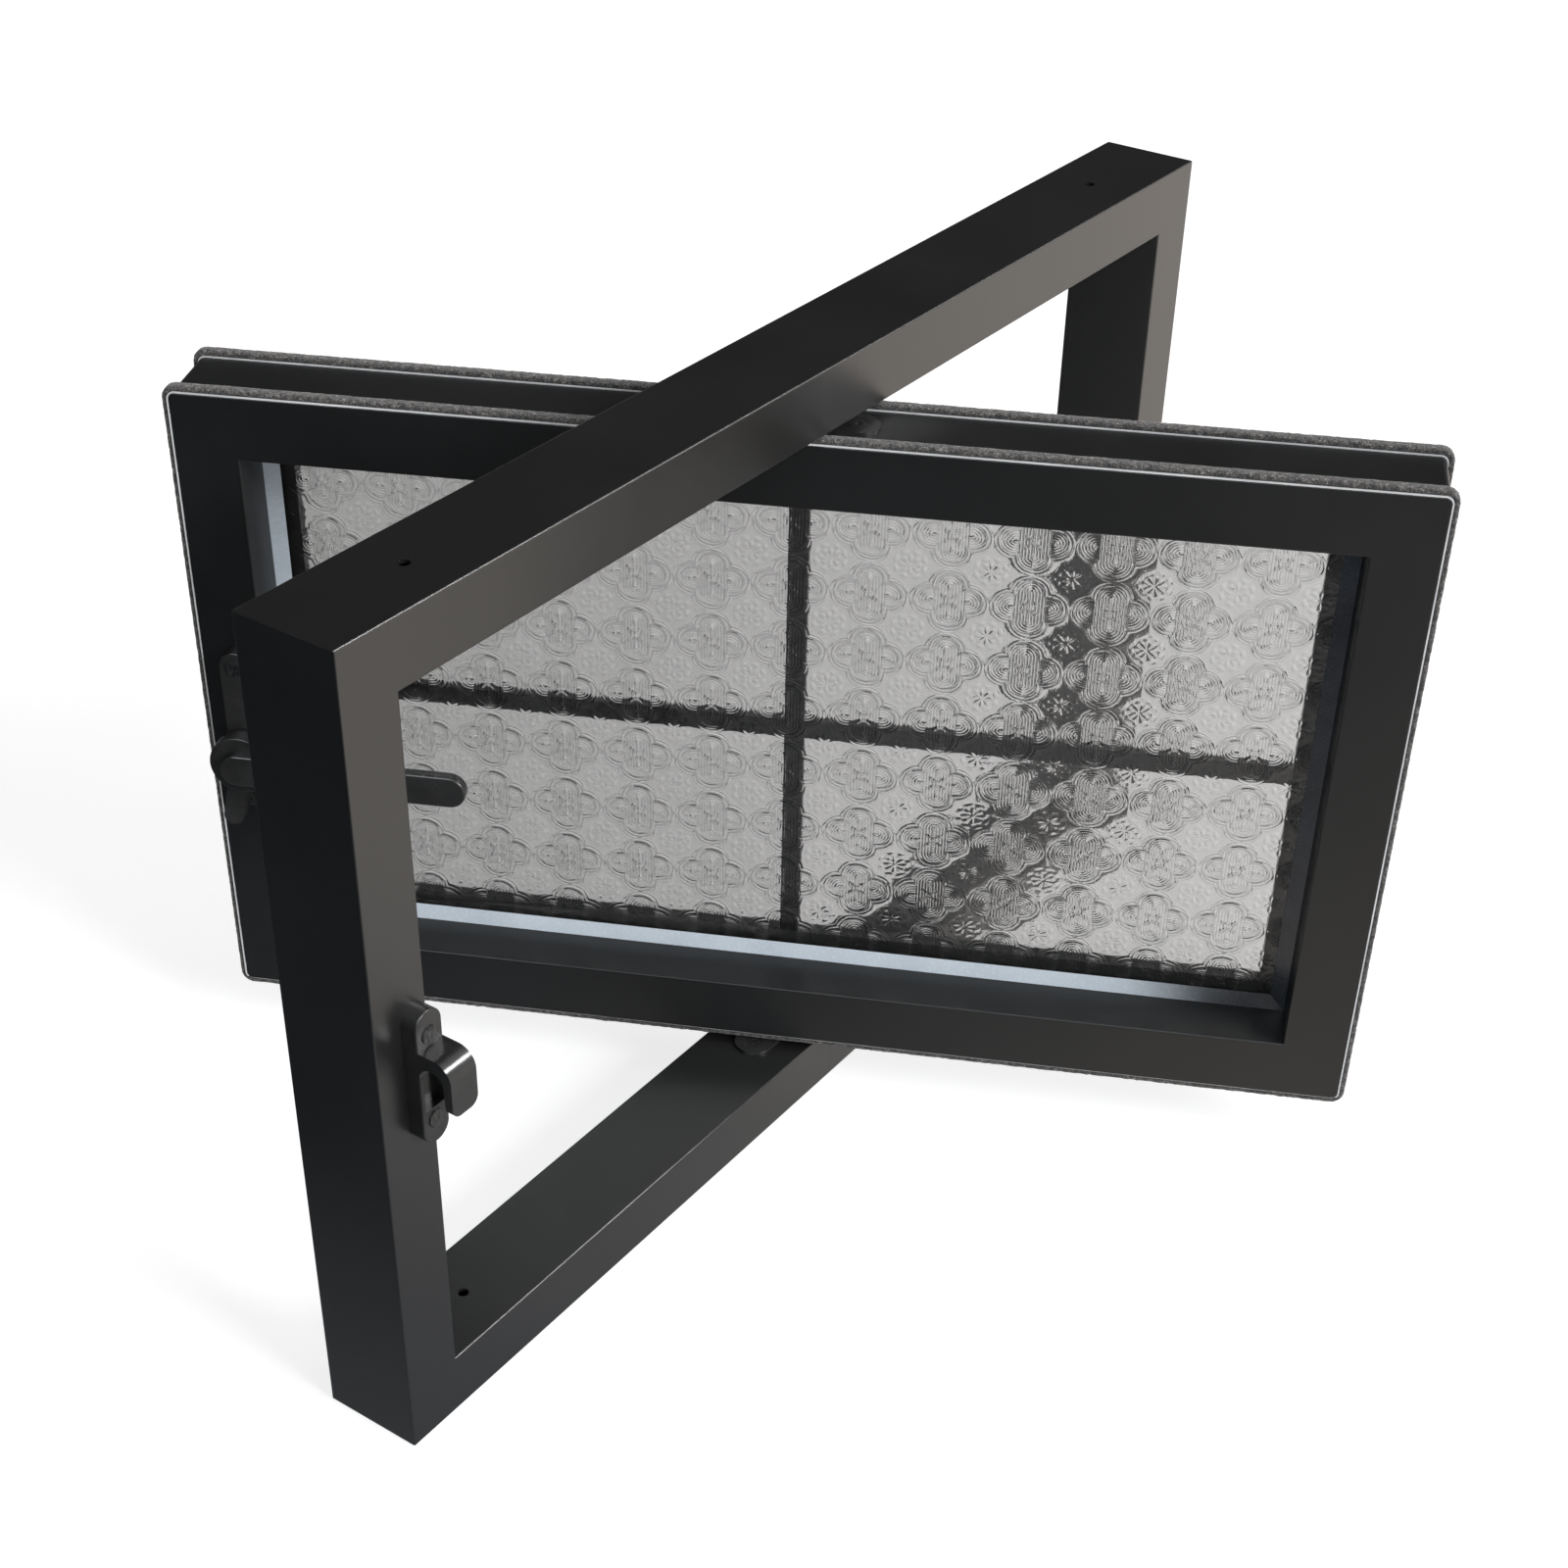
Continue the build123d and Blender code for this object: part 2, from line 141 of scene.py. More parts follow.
# The brush seals. The points of the pile's profile are how far out of the rim, and the depth from the
# middle of the strip.
PILE_PROFILE = np.array([
    (0.5, -2.9), (1.6, -3.2), (2.7, -3.45), (3.6, -3.2), (4.1, -2.3), (4.3, -0.9),
    (4.3, 0.9), (4.1, 2.3), (3.6, 3.2), (2.7, 3.45), (1.6, 3.2), (0.5, 2.9),
])
PILE_STEP = 2.0
PILE_TOP_GAP = 0.5
FIBRES_PER_MM = 11
FIBRE_WIDTH = 0.2
FIBRE_ROOT = (1.2, 2.4)
FIBRE_ROOT_SPREAD = 2.4
FIBRE_TIP_SPREAD = 3.4
FIBRE_ROUNDING = 0.9
FIBRE_UNEVEN = 1.0
FIBRE_STRAY = 0.3
FIBRE_SLIP = 0.9
PILE_UNEVEN = 0.025
PILE_SWAY = 0.04
SWAY_SPAN = 9
BACKING_OUTSIDE = 0.9
BACKING_INSIDE = 0.8
BACKING_FLOOR = 0.5
BACKING_LOW_LIP = 0.6
BACKING_UNDERSIDE = 0.05
BACKING_MARGIN = 0.4
BACKING_FIN = 0.7
CORNER_STEPS = 6


# Nodes. Noise scales are per metre, and bump distances are in metres.

class Material:
    """A node material under construction: short ways to add, set and join its nodes."""

    def __init__(self, name):
        self.made = bpy.data.materials.new(name)
        self.made.use_nodes = True
        self.tree = self.made.node_tree
        self.tree.nodes.clear()
        self.output = self.tree.nodes.new("ShaderNodeOutputMaterial")

    def add(self, kind, inputs=None, **settings):
        node = self.tree.nodes.new("ShaderNode" + kind)
        for key, value in settings.items():
            setattr(node, key, value)
        for key, value in (inputs or {}).items():
            self.put(node.inputs[key], value)
        return node

    def put(self, socket, value):
        if isinstance(value, bpy.types.NodeSocket):
            self.tree.links.new(value, socket)
        else:
            socket.default_value = value

    def math(self, operation, a, b=0.0, c=0.0):
        node = self.tree.nodes.new("ShaderNodeMath")
        node.operation = operation
        for socket, value in zip(node.inputs, (a, b, c)):
            self.put(socket, value)
        return node.outputs[0]

    def place(self):
        return self.add("TexCoord").outputs["Object"]

    def stretched(self, scale):
        return self.add("Mapping", {"Vector": self.place(), "Scale": scale}).outputs["Vector"]

    def noise(self, vector, scale, detail=3.0, roughness=0.5):
        inputs = {"Vector": vector, "Scale": scale, "Detail": detail, "Roughness": roughness}
        return self.add("TexNoise", inputs).outputs["Fac"]

    def ramp(self, value, stops):
        node = self.add("ValToRGB", {"Fac": value})
        elements = node.color_ramp.elements
        while len(elements) < len(stops):
            elements.new(0.5)
        for element, (position, colour) in zip(elements, stops):
            element.position = position
            element.color = (*colour, 1.0)
        return node.outputs["Color"]

    def spread(self, value, low, high):
        inputs = {"Value": value, "From Min": 0.25, "From Max": 0.75, "To Min": low, "To Max": high}
        return self.add("MapRange", inputs).outputs["Result"]

    def length(self, a, b):
        return self.math("SQRT", self.math("ADD", self.math("MULTIPLY", a, a), self.math("MULTIPLY", b, b)))

    def crest(self, distance, half_width):
        """A rounded ridge: 1 on its crest, 0 at half_width and beyond."""
        share = self.math("DIVIDE", distance, half_width)
        return self.math("MAXIMUM", self.math("SUBTRACT", 1.0, self.math("MULTIPLY", share, share)), 0.0)

    def petal(self, along, across, reach, half_length, half_width):
        first = self.math("DIVIDE", self.math("SUBTRACT", along, reach), half_length)
        return self.crest(self.length(first, self.math("DIVIDE", across, half_width)), 1.0)

    def in_object(self, normal):
        """A normal turned into the piece's own axes, so that it moves with the piece."""
        inputs = {"Vector": normal}
        return self.add("VectorTransform", inputs, vector_type="NORMAL", convert_to="OBJECT").outputs[0]

    def along(self, vector, axis):
        return self.add("VectorMath", {0: vector, 1: axis}, operation="DOT_PRODUCT").outputs["Value"]

    def bump(self, height, distance, strength=1.0, normal=None):
        inputs = {"Height": height, "Distance": distance, "Strength": strength}
        if normal is not None:
            inputs["Normal"] = normal
        return self.add("Bump", inputs).outputs["Normal"]

    def surface(self, **inputs):
        shader = self.add("BsdfPrincipled", {key.replace("_", " "): v for key, v in inputs.items()})
        self.tree.links.new(shader.outputs["BSDF"], self.output.inputs["Surface"])
        return self.made


def grey(value, warmth=0.0):
    """A grey, a little warmer or cooler."""
    return (value * (1 + warmth), value, value * (1 - warmth))


def rounded_edges(m, axis):
    """A normal that is round over a member's long edges, and flat at its mitred ends."""
    rounded = m.add("Bevel", {"Radius": EDGE_RADIUS}, samples=6).outputs["Normal"]
    along = m.along(m.in_object(rounded), axis)
    at_mitre = m.math("GREATER_THAN", m.math("ABSOLUTE", along), MITRE_SHARE)
    flat = m.add("NewGeometry").outputs["Normal"]
    return m.add("MixRGB", {"Fac": at_mitre, "Color1": rounded, "Color2": flat}).outputs["Color"]


def powder_coat(name, tone, low, high, ior, warmth=0.0, axis=UPRIGHT):
    """Satin powder coat: fine orange peel, faint upright streaks, and scattered pale rubs."""
    m = Material(name)
    cloud = m.noise(m.place(), 9.0, 4.0)
    streak = m.noise(m.stretched((170, 170, 5)), 1.0, 3.0)
    rub = m.noise(m.stretched((60, 60, 420)), 1.0, 4.0, 0.65)
    base = m.ramp(cloud, [(0.3, grey(tone * 0.8, warmth)), (0.7, grey(tone * 1.25, warmth))])
    rub_mask = m.ramp(rub, [(0.66, (0, 0, 0)), (0.88, (0.2, 0.2, 0.2))])
    mix = m.add("MixRGB", {"Fac": rub_mask, "Color1": base, "Color2": (*grey(tone * 3.2, warmth), 1)})
    rough = m.math("ADD", m.spread(cloud, low, high), m.spread(streak, -COAT_STREAK, COAT_STREAK))
    peel = m.noise(m.place(), 620.0, 2.0)
    normal = m.bump(peel, 0.00003, 0.5, rounded_edges(m, axis))
    return m.surface(
        Base_Color=mix.outputs["Color"], Roughness=rough, IOR=ior, Normal=normal
    )


def cast_metal(name, tone, low, high):
    """Semi-gloss coat over a casting, with soft waves and a fine grain."""
    m = Material(name)
    cloud = m.noise(m.place(), 45.0, 4.0)
    grain = m.noise(m.place(), 900.0, 2.0)
    wave = m.noise(m.place(), 110.0, 2.0)
    base = m.ramp(cloud, [(0.3, grey(tone * 0.75)), (0.7, grey(tone * 1.3))])
    normal = m.bump(grain, 0.00004, 0.4, m.bump(wave, 0.0004, 0.25))
    return m.surface(Base_Color=base, Roughness=m.spread(cloud, low, high), IOR=1.5, Normal=normal)


def blackened_steel(name):
    m = Material(name)
    scuff = m.noise(m.stretched((900, 900, 300)), 1.0, 3.0)
    base = m.ramp(scuff, [(0.35, grey(0.035)), (0.7, grey(0.13))])
    rough = m.spread(scuff, 0.28, 0.46)
    normal = m.bump(scuff, 0.00003, 0.4)
    return m.surface(Base_Color=base, Metallic=0.85, Roughness=rough, Normal=normal)


def moulded(name, tone, rough):
    """Plain moulded plastic with a fine spark grain."""
    m = Material(name)
    grain = m.noise(m.place(), 1100.0, 2.0)
    cloud = m.noise(m.place(), 30.0)
    base = m.ramp(cloud, [(0.3, grey(tone * 0.8, -0.05)), (0.7, grey(tone * 1.2, -0.05))])
    normal = m.bump(grain, 0.00004, 0.4)
    return m.surface(Base_Color=base, Roughness=m.spread(grain, rough - 0.05, rough + 0.05), Normal=normal)


def sealing_strip(name):
    """Glossy sealing strip with slow waves, pale on the left, with painted shade darkening it towards the
    right.
    """
    m = Material(name)
    # Painted shade: the strip is darkened towards the right end of the sash.
    limits = {"From Min": STRIP_SHADE_START, "From Max": STRIP_SHADE_FULL}
    inputs = {"Value": m.along(m.place(), ALONG_SASH), **limits}
    painted_shade = m.add("MapRange", inputs, interpolation_type="SMOOTHSTEP").outputs["Result"]
    wave = m.noise(m.stretched((26, 26, 26)), 1.0, 3.0)
    grain = m.noise(m.place(), 500.0, 2.0)
    pale = m.ramp(wave, [(0.3, (0.62, 0.70, 0.77)), (0.7, (0.72, 0.80, 0.87))])
    shaded_tone = m.ramp(wave, [(0.3, (0.012, 0.017, 0.028)), (0.7, (0.03, 0.042, 0.062))])
    base = m.add("MixRGB", {"Fac": painted_shade, "Color1": pale, "Color2": shaded_tone}).outputs["Color"]
    normal = m.bump(grain, 0.00003, 0.3, m.bump(wave, 0.002, 0.35))
    return m.surface(
        Base_Color=base, Roughness=m.spread(grain, 0.22, 0.30), IOR=1.6, Normal=normal
    )


def pile(name):
    """Brush fibres: dark grey at the root, which is painted shade, paler and browner at the tip."""
    m = Material(name)
    tone = m.add("Attribute", attribute_name="tone").outputs["Fac"]
    fleck = m.spread(m.noise(m.place(), 900.0, 3.0, 0.75), -0.40, 0.48)
    clump = m.spread(m.noise(m.place(), 340.0, 3.0, 0.7), -0.32, 0.3)
    value = m.math("ADD", m.math("MULTIPLY", tone, 0.7), m.math("ADD", fleck, clump))
    stops = [(0.05, (0.016, 0.015, 0.015)), (0.45, (0.13, 0.122, 0.115)), (0.95, (0.60, 0.56, 0.53))]
    base = m.ramp(value, stops)
    return m.surface(Base_Color=base, Roughness=0.85, Sheen_Weight=0.25, Sheen_Roughness=0.5)


def woven_backing(name):
    """White woven strip that carries the fibres."""
    m = Material(name)
    weave = m.noise(m.place(), 1300.0, 2.0)
    dirt = m.noise(m.place(), 25.0, 4.0)
    base = m.ramp(dirt, [(0.3, (0.62, 0.63, 0.64)), (0.7, (0.86, 0.87, 0.88))])
    return m.surface(Base_Color=base, Roughness=0.6, Normal=m.bump(weave, 0.0001, 0.5))


def folded_cell(m):
    """Distances across and up from the nearest quatrefoil's centre, in the square cell's units."""
    axes = m.add("SeparateXYZ", {"Vector": m.place()})
    folded = []
    for axis, start, pitch in (("X", CELL_START[0], CELL_WIDTH), ("Z", CELL_START[1], CELL_HEIGHT)):
        shifted = m.math("SUBTRACT", axes.outputs[axis], start * MM)
        distance = m.math("PINGPONG", shifted, pitch * MM / 2)
        folded.append(m.math("MULTIPLY", distance, CELL / (pitch * MM)))
    return folded


def petal_ribs(m, across, up):
    """Fine ribs that follow the quatrefoil's lobes, from -1 to 1, and 0 outside them."""
    upright = m.length(across, m.math("MAXIMUM", m.math("SUBTRACT", up, LOBE_OFFSET), 0.0))
    level = m.length(m.math("MAXIMUM", m.math("SUBTRACT", across, LOBE_OFFSET), 0.0), up)
    in_upright = m.math("LESS_THAN", upright, LOBE_RADIUS)
    in_level = m.math("LESS_THAN", level, LOBE_RADIUS)
    only_level = m.math("MULTIPLY", in_level, m.math("SUBTRACT", 1.0, in_upright))
    waves = []
    for distance, inside in ((upright, in_upright), (level, only_level)):
        wave = m.math("SINE", m.math("MULTIPLY", distance, 2 * pi / RIB_SPACING))
        waves.append(m.math("MULTIPLY", wave, inside))
    return m.math("ADD", *waves)


def lobe_edge(m, across, up):
    """Distance outside the quatrefoil's outline, negative inside it."""
    side_lobe = m.length(m.math("SUBTRACT", across, LOBE_OFFSET), up)
    end_lobe = m.length(across, m.math("SUBTRACT", up, LOBE_OFFSET))
    return m.math("SUBTRACT", m.math("MINIMUM", side_lobe, end_lobe), LOBE_RADIUS)


def raised_pattern(m, across, up, edge):
    """The mesh's pattern once more, each form at full height and the daisy's petals made simpler."""
    slant = m.math("MULTIPLY", m.math("ADD", across, up), sqrt(0.5))
    skew = m.math("MULTIPLY", m.math("SUBTRACT", up, across), sqrt(0.5))
    from_side = m.math("SUBTRACT", CELL / 2, across)
    from_end = m.math("SUBTRACT", CELL / 2, up)
    reach = m.length(from_side, from_end)
    turn = m.math("ARCTAN2", from_end, from_side)
    ray = m.math("COSINE", m.math("MULTIPLY", turn, DAISY_PETALS))
    raised = m.crest(m.math("ADD", edge, FIRST_RIDGE_INSET), FIRST_RIDGE_WIDTH)
    forms = [
        m.crest(m.math("SUBTRACT", edge, RIDGE_GAP), SECOND_RIDGE_WIDTH),
        m.petal(slant, skew, *BLOSSOM_PETAL),
        m.petal(across, up, *ALMOND),
        m.petal(up, across, *ALMOND),
        m.crest(m.length(across, up), BLOSSOM_EYE),
    ]
    for side, (ring, half_length, _) in ((0.5, DAISY_INNER), (-0.5, DAISY_OUTER)):
        on_ray = m.math("MULTIPLY_ADD", ray, side, 0.5)
        forms.append(m.math("MULTIPLY", on_ray, m.crest(m.math("SUBTRACT", reach, ring), half_length)))
    for form in forms:
        raised = m.math("MAXIMUM", raised, form)
    return raised


def glass_painted_shading(m, shade_normal, raised, edge):
    """The glass's colour with painted light and shade: lighter on ridges and towards the light, darker in
    furrows and to the left.
    """
    turned = m.in_object(shade_normal)
    facing = m.add("SeparateXYZ", {"Vector": turned}).outputs["Y"]
    # Painted shade and light: steep slopes, furrows and slopes turned away from SHADE_LIGHT are painted
    # darker.
    steep = m.math("SUBTRACT", 1.0, m.math("MULTIPLY", facing, facing))
    outer = m.crest(m.math("SUBTRACT", edge, OUTER_FURROW), FURROW_WIDTH)
    inner = m.crest(m.math("ADD", edge, INNER_FURROW), FURROW_WIDTH)
    relief_shade = m.math("MULTIPLY_ADD", steep, SHADE_STEEP, SHADE_LEVEL)
    relief_shade = m.math("MULTIPLY_ADD", m.along(turned, SHADE_LIGHT), SHADE_LEAN, relief_shade)
    relief_shade = m.math("MULTIPLY_ADD", raised, SHADE_RAISED, relief_shade)
    relief_shade = m.math("MULTIPLY_ADD", m.math("MAXIMUM", outer, inner), SHADE_FURROW, relief_shade)
    # Painted light: the glass is painted darker towards the left and brighter towards the right.
    span = {"From Min": -GLASS_HALF_SPAN, "From Max": GLASS_HALF_SPAN}
    tones = {"To Min": GLASS_SHADE_LEFT, "To Max": GLASS_SHADE_RIGHT}
    place = m.add("SeparateXYZ", {"Vector": m.place()}).outputs["X"]
    painted_gradient = m.add("MapRange", {"Value": place, **span, **tones}).outputs["Result"]
    return m.ramp(m.math("MULTIPLY", relief_shade, painted_gradient), [(0.0, (0, 0, 0)), (1.0, (1.0, 0.99, 0.985))])


def patterned_glass(name):
    """Clear cast glass. Its outlines are in the mesh, sharpened by bump, and its fine ribs are bump."""
    m = Material(name)
    across, up = folded_cell(m)
    ribs = petal_ribs(m, across, up)
    edge = lobe_edge(m, across, up)
    raised = raised_pattern(m, across, up, edge)
    ripple = m.noise(m.place(), 640.0, 2.0, 0.6)
    normal = m.bump(raised, 0.00015, 1.0, m.bump(ribs, 0.0001, 1.0, m.bump(ripple, 0.00012, 0.6)))
    # A stronger bump, used only for the painted light and shade in the colour
    shade_normal = m.bump(raised, 0.0007, 1.0, m.bump(ribs, 0.00022, 1.0, m.bump(ripple, 0.0002, 0.8)))
    painted_shading = glass_painted_shading(m, shade_normal, raised, edge)
    return m.surface(
        Base_Color=painted_shading, Roughness=0.03, IOR=1.5, Transmission_Weight=1.0, Normal=normal
    )


def clear_glass(name):
    """Flat clear glass with the faintest cloud of dust."""
    m = Material(name)
    dust = m.noise(m.place(), 14.0, 5.0)
    base = m.ramp(dust, [(0.3, (0.91, 0.91, 0.905)), (0.7, (0.96, 0.96, 0.955))])
    return m.surface(
        Base_Color=base, Roughness=m.spread(dust, 0.01, 0.05), IOR=1.5, Transmission_Weight=1.0
    )


# Meshes

def new_piece(name, vertices, faces, material, smooth=True, tones=None):
    """A mesh in the sash's frame, made from millimetres."""
    mesh = bpy.data.meshes.new(name)
    mesh.from_pydata((np.asarray(vertices, float) * MM).tolist(), [], faces)
    mesh.materials.append(material)
    mesh.polygons.foreach_set("use_smooth", [smooth] * len(mesh.polygons))
    if tones is not None:
        mesh.attributes.new("tone", "FLOAT", "POINT").data.foreach_set("value", np.asarray(tones, float))
    mesh.validate()
    piece = bpy.data.objects.new(name, mesh)
    bpy.context.scene.collection.objects.link(piece)
    piece.matrix_world = SASH
    return piece


def outline(turn, grow):
    """How far a quatrefoil's outline, four overlapping circles, is from its centre."""
    turn = (turn + pi / 4) % (pi / 2) - pi / 4
    reach = LOBE_RADIUS + grow
    return LOBE_OFFSET * cos(turn) + sqrt(reach ** 2 - (LOBE_OFFSET * sin(turn)) ** 2)


def hump(distance, half_width):
    """A rounded ridge: 1 on its crest, 0 at half_width and beyond."""
    return np.clip(1 - (distance / half_width) ** 2, 0, 1)


def petals(u, v, count, reach, half_length, half_width, first=0.0):
    """Rounded petals in a ring about the origin."""
    height = np.zeros_like(u)
    for k in range(count):
        turn = first + 2 * pi * k / count
        along = u * cos(turn) + v * sin(turn) - reach
        across = v * cos(turn) - u * sin(turn)
        height = np.maximum(height, hump(np.hypot(along / half_length, across / half_width), 1))
    return height


def quatrefoil_height(u, v):
    """Relief of the quatrefoil, from its own centre: double outline, blossom and four almonds."""
    a, b = np.abs(u), np.abs(v)
    edge = np.minimum(np.hypot(a - LOBE_OFFSET, b), np.hypot(a, b - LOBE_OFFSET)) - LOBE_RADIUS
    first = hump(edge + FIRST_RIDGE_INSET, FIRST_RIDGE_WIDTH)
    height = np.maximum(first, 0.85 * hump(edge - RIDGE_GAP, SECOND_RIDGE_WIDTH))
    height = np.maximum(height, 0.8 * petals(u, v, 4, *BLOSSOM_PETAL, pi / 4))
    height = np.maximum(height, 0.9 * petals(u, v, 4, *ALMOND))
    return np.maximum(height, 0.9 * hump(np.hypot(u, v), BLOSSOM_EYE))


def daisy_height(u, v):
    """Relief of the daisy between four quatrefoils, from its own centre."""
    height = 0.85 * petals(u, v, DAISY_PETALS, *DAISY_INNER)
    height = np.maximum(height, 0.7 * petals(u, v, DAISY_PETALS, *DAISY_OUTER, pi / DAISY_PETALS))
    return np.maximum(height, 0.9 * hump(np.hypot(u, v), DAISY_EYE))


def fan(rings):
    """Faces of a disc made from one centre point and rings of equal counts."""
    faces = [(0, 1 + k, 1 + (k + 1) % TURN_STEPS) for k in range(TURN_STEPS)]
    for ring in range(rings - 1):
        inner, outer = 1 + ring * TURN_STEPS, 1 + (ring + 1) * TURN_STEPS
        for k in range(TURN_STEPS):
            n = (k + 1) % TURN_STEPS
            faces.append((inner + k, outer + k, outer + n, inner + n))
    return faces


def quatrefoil_patch():
    turns = [2 * pi * k / TURN_STEPS for k in range(TURN_STEPS)]
    points = [(0.0, 0.0)]
    for r in BLOSSOM_RINGS:
        points += [(r * cos(t), r * sin(t)) for t in turns]
    for share in PETAL_RINGS:
        for t in turns:
            r = BLOSSOM_RINGS[-1] * (1 - share) + outline(t, OUTLINE_RINGS[0]) * share
            points.append((r * cos(t), r * sin(t)))
    for grow in OUTLINE_RINGS:
        points += [(outline(t, grow) * cos(t), outline(t, grow) * sin(t)) for t in turns]
    points = np.array(points)
    rings = len(BLOSSOM_RINGS) + len(PETAL_RINGS) + len(OUTLINE_RINGS)
    return points, quatrefoil_height(*points.T), fan(rings)


def daisy_patch():
    """The daisy's own rings, and last the outlines of the four quatrefoils around it."""
    points = [(0.0, 0.0)]
    for r in DAISY_RINGS:
        for k in range(TURN_STEPS):
            t = -pi / 2 - 2 * pi * k / TURN_STEPS
            points.append((r * cos(t), r * sin(t)))
    quarter = TURN_STEPS // 4
    for k in range(TURN_STEPS):
        t = 2 * pi * (k % quarter) / TURN_STEPS
        u = outline(t, OUTLINE_EDGE) * cos(t) - CELL / 2
        v = outline(t, OUTLINE_EDGE) * sin(t) - CELL / 2
        for _ in range(k // quarter):
            u, v = v, -u
        points.append((u, v))
    points = np.array(points)
    height = daisy_height(*points.T)
    height[-TURN_STEPS:] = 0
    return points, height, [face[::-1] for face in fan(len(DAISY_RINGS) + 1)]


def relief_sheet(half_width, half_height):
    """Points and faces of the relief over a rectangle and a little more, with full height at depth 0."""
    columns = range(-int(half_width / CELL_WIDTH) - 2, int(half_width / CELL_WIDTH) + 2)
    rows = range(-int(half_height / CELL_HEIGHT) - 2, int(half_height / CELL_HEIGHT) + 3)
    vertices, faces = [], []
    count = 0
    for points, height, patch, shift in ((*quatrefoil_patch(), 0.0), (*daisy_patch(), 0.5)):
        patch = np.array([face if len(face) == 4 else (*face, -1) for face in patch])
        for i in columns:
            for j in rows:
                x = CELL_START[0] + (i + shift) * CELL_WIDTH + points[:, 0] * CELL_WIDTH / CELL
                z = CELL_START[1] + (j + shift) * CELL_HEIGHT + points[:, 1] * CELL_HEIGHT / CELL
                if x.min() > half_width or x.max() < -half_width:
                    continue
                if z.min() > half_height or z.max() < -half_height:
                    continue
                vertices.append(np.column_stack([x, (1 - height) * RELIEF, z]))
                faces.append(np.where(patch >= 0, patch + count, -1))
                count += len(points)
    return np.vstack(vertices), [[int(k) for k in face if k >= 0] for face in np.vstack(faces)]


def make_front_glass(material):
    """The patterned pane: relief where it shows, plain under the gasket, at the edge and behind."""
    half_width = SASH_WIDTH / 2 - PANE_INSET
    half_height = SASH_HEIGHT / 2 - PANE_INSET
    shown_width = SASH_WIDTH / 2 - SASH_FACE - GASKET_WIDTH + RELIEF_UNDER_GASKET
    shown_height = SASH_HEIGHT / 2 - SASH_FACE - GASKET_WIDTH + RELIEF_UNDER_GASKET
    vertices, faces = relief_sheet(shown_width, shown_height)
    vertices[:, 1] += GLASS_FRONT
    piece = new_piece("patterned_glass_pane", vertices, faces, material)
    mesh = bmesh.new()
    mesh.from_mesh(piece.data)
    bmesh.ops.remove_doubles(mesh, verts=mesh.verts, dist=WELD_DISTANCE * MM)
    for axis, reach in ((0, shown_width), (2, shown_height)):
        for sign in (-1, 1):
            spot, normal = [0.0] * 3, [0.0] * 3
            spot[axis], normal[axis] = sign * reach * MM, sign
            whole = mesh.verts[:] + mesh.edges[:] + mesh.faces[:]
            bmesh.ops.bisect_plane(
                mesh, geom=whole, dist=CUT_TOLERANCE, plane_co=spot, plane_no=normal, clear_outer=True
            )

    def widen(move):
        rim = [edge for edge in mesh.edges if edge.is_boundary]
        made = bmesh.ops.extrude_edge_only(mesh, edges=rim)["geom"]
        for vertex in [part for part in made if isinstance(part, bmesh.types.BMVert)]:
            move(vertex.co)

    def to_edge(place):
        if abs(abs(place.x) - shown_width * MM) < RIM_TOLERANCE:
            place.x = half_width * MM * (1 if place.x > 0 else -1)
        if abs(abs(place.z) - shown_height * MM) < RIM_TOLERANCE:
            place.z = half_height * MM * (1 if place.z > 0 else -1)
        place.y = (GLASS_FRONT + RELIEF) * MM

    def to_back(place):
        place.y = (GLASS_FRONT + PANE_THICKNESS) * MM

    widen(to_edge)
    widen(to_back)
    bmesh.ops.holes_fill(mesh, edges=[edge for edge in mesh.edges if edge.is_boundary], sides=0)
    bmesh.ops.recalc_face_normals(mesh, faces=mesh.faces)
    mesh.to_mesh(piece.data)
    mesh.free()
    # Large faces, such as the back, stay flat
    for polygon in piece.data.polygons:
        polygon.use_smooth = len(polygon.vertices) <= 5
    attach(piece, "sash")
    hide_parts("front_glass")


def rim_path(side, step):
    """Places and outward directions along one side of the sash's rim, corner middle to corner middle."""
    flat = {"top": 90, "right": 0, "bottom": -90, "left": 180}[side]
    half_width, half_height = SASH_WIDTH / 2 - SASH_CORNER, SASH_HEIGHT / 2 - SASH_CORNER
    signs = {"top": (-1, 1), "right": (1, 1), "bottom": (1, -1), "left": (-1, -1)}[side]
    start = np.array([signs[0] * half_width, signs[1] * half_height])
    signs = {"top": (1, 1), "right": (1, -1), "bottom": (-1, -1), "left": (-1, 1)}[side]
    end = np.array([signs[0] * half_width, signs[1] * half_height])
    places, directions = [], []
    for k in range(CORNER_STEPS):
        turn = radians(flat + 45 - 45 * k / CORNER_STEPS)
        places.append(start + SASH_CORNER * np.array([cos(turn), sin(turn)]))
        directions.append((cos(turn), sin(turn)))
    out = np.array([cos(radians(flat)), sin(radians(flat))])
    count = int(np.hypot(*(end - start)) / step)
    for k in range(count + 1):
        places.append(start + (end - start) * k / count + SASH_CORNER * out)
        directions.append(tuple(out))
    for k in range(1, CORNER_STEPS + 1):
        turn = radians(flat - 45 * k / CORNER_STEPS)
        places.append(end + SASH_CORNER * np.array([cos(turn), sin(turn)]))
        directions.append((cos(turn), sin(turn)))
    return np.array(places), np.array(directions)


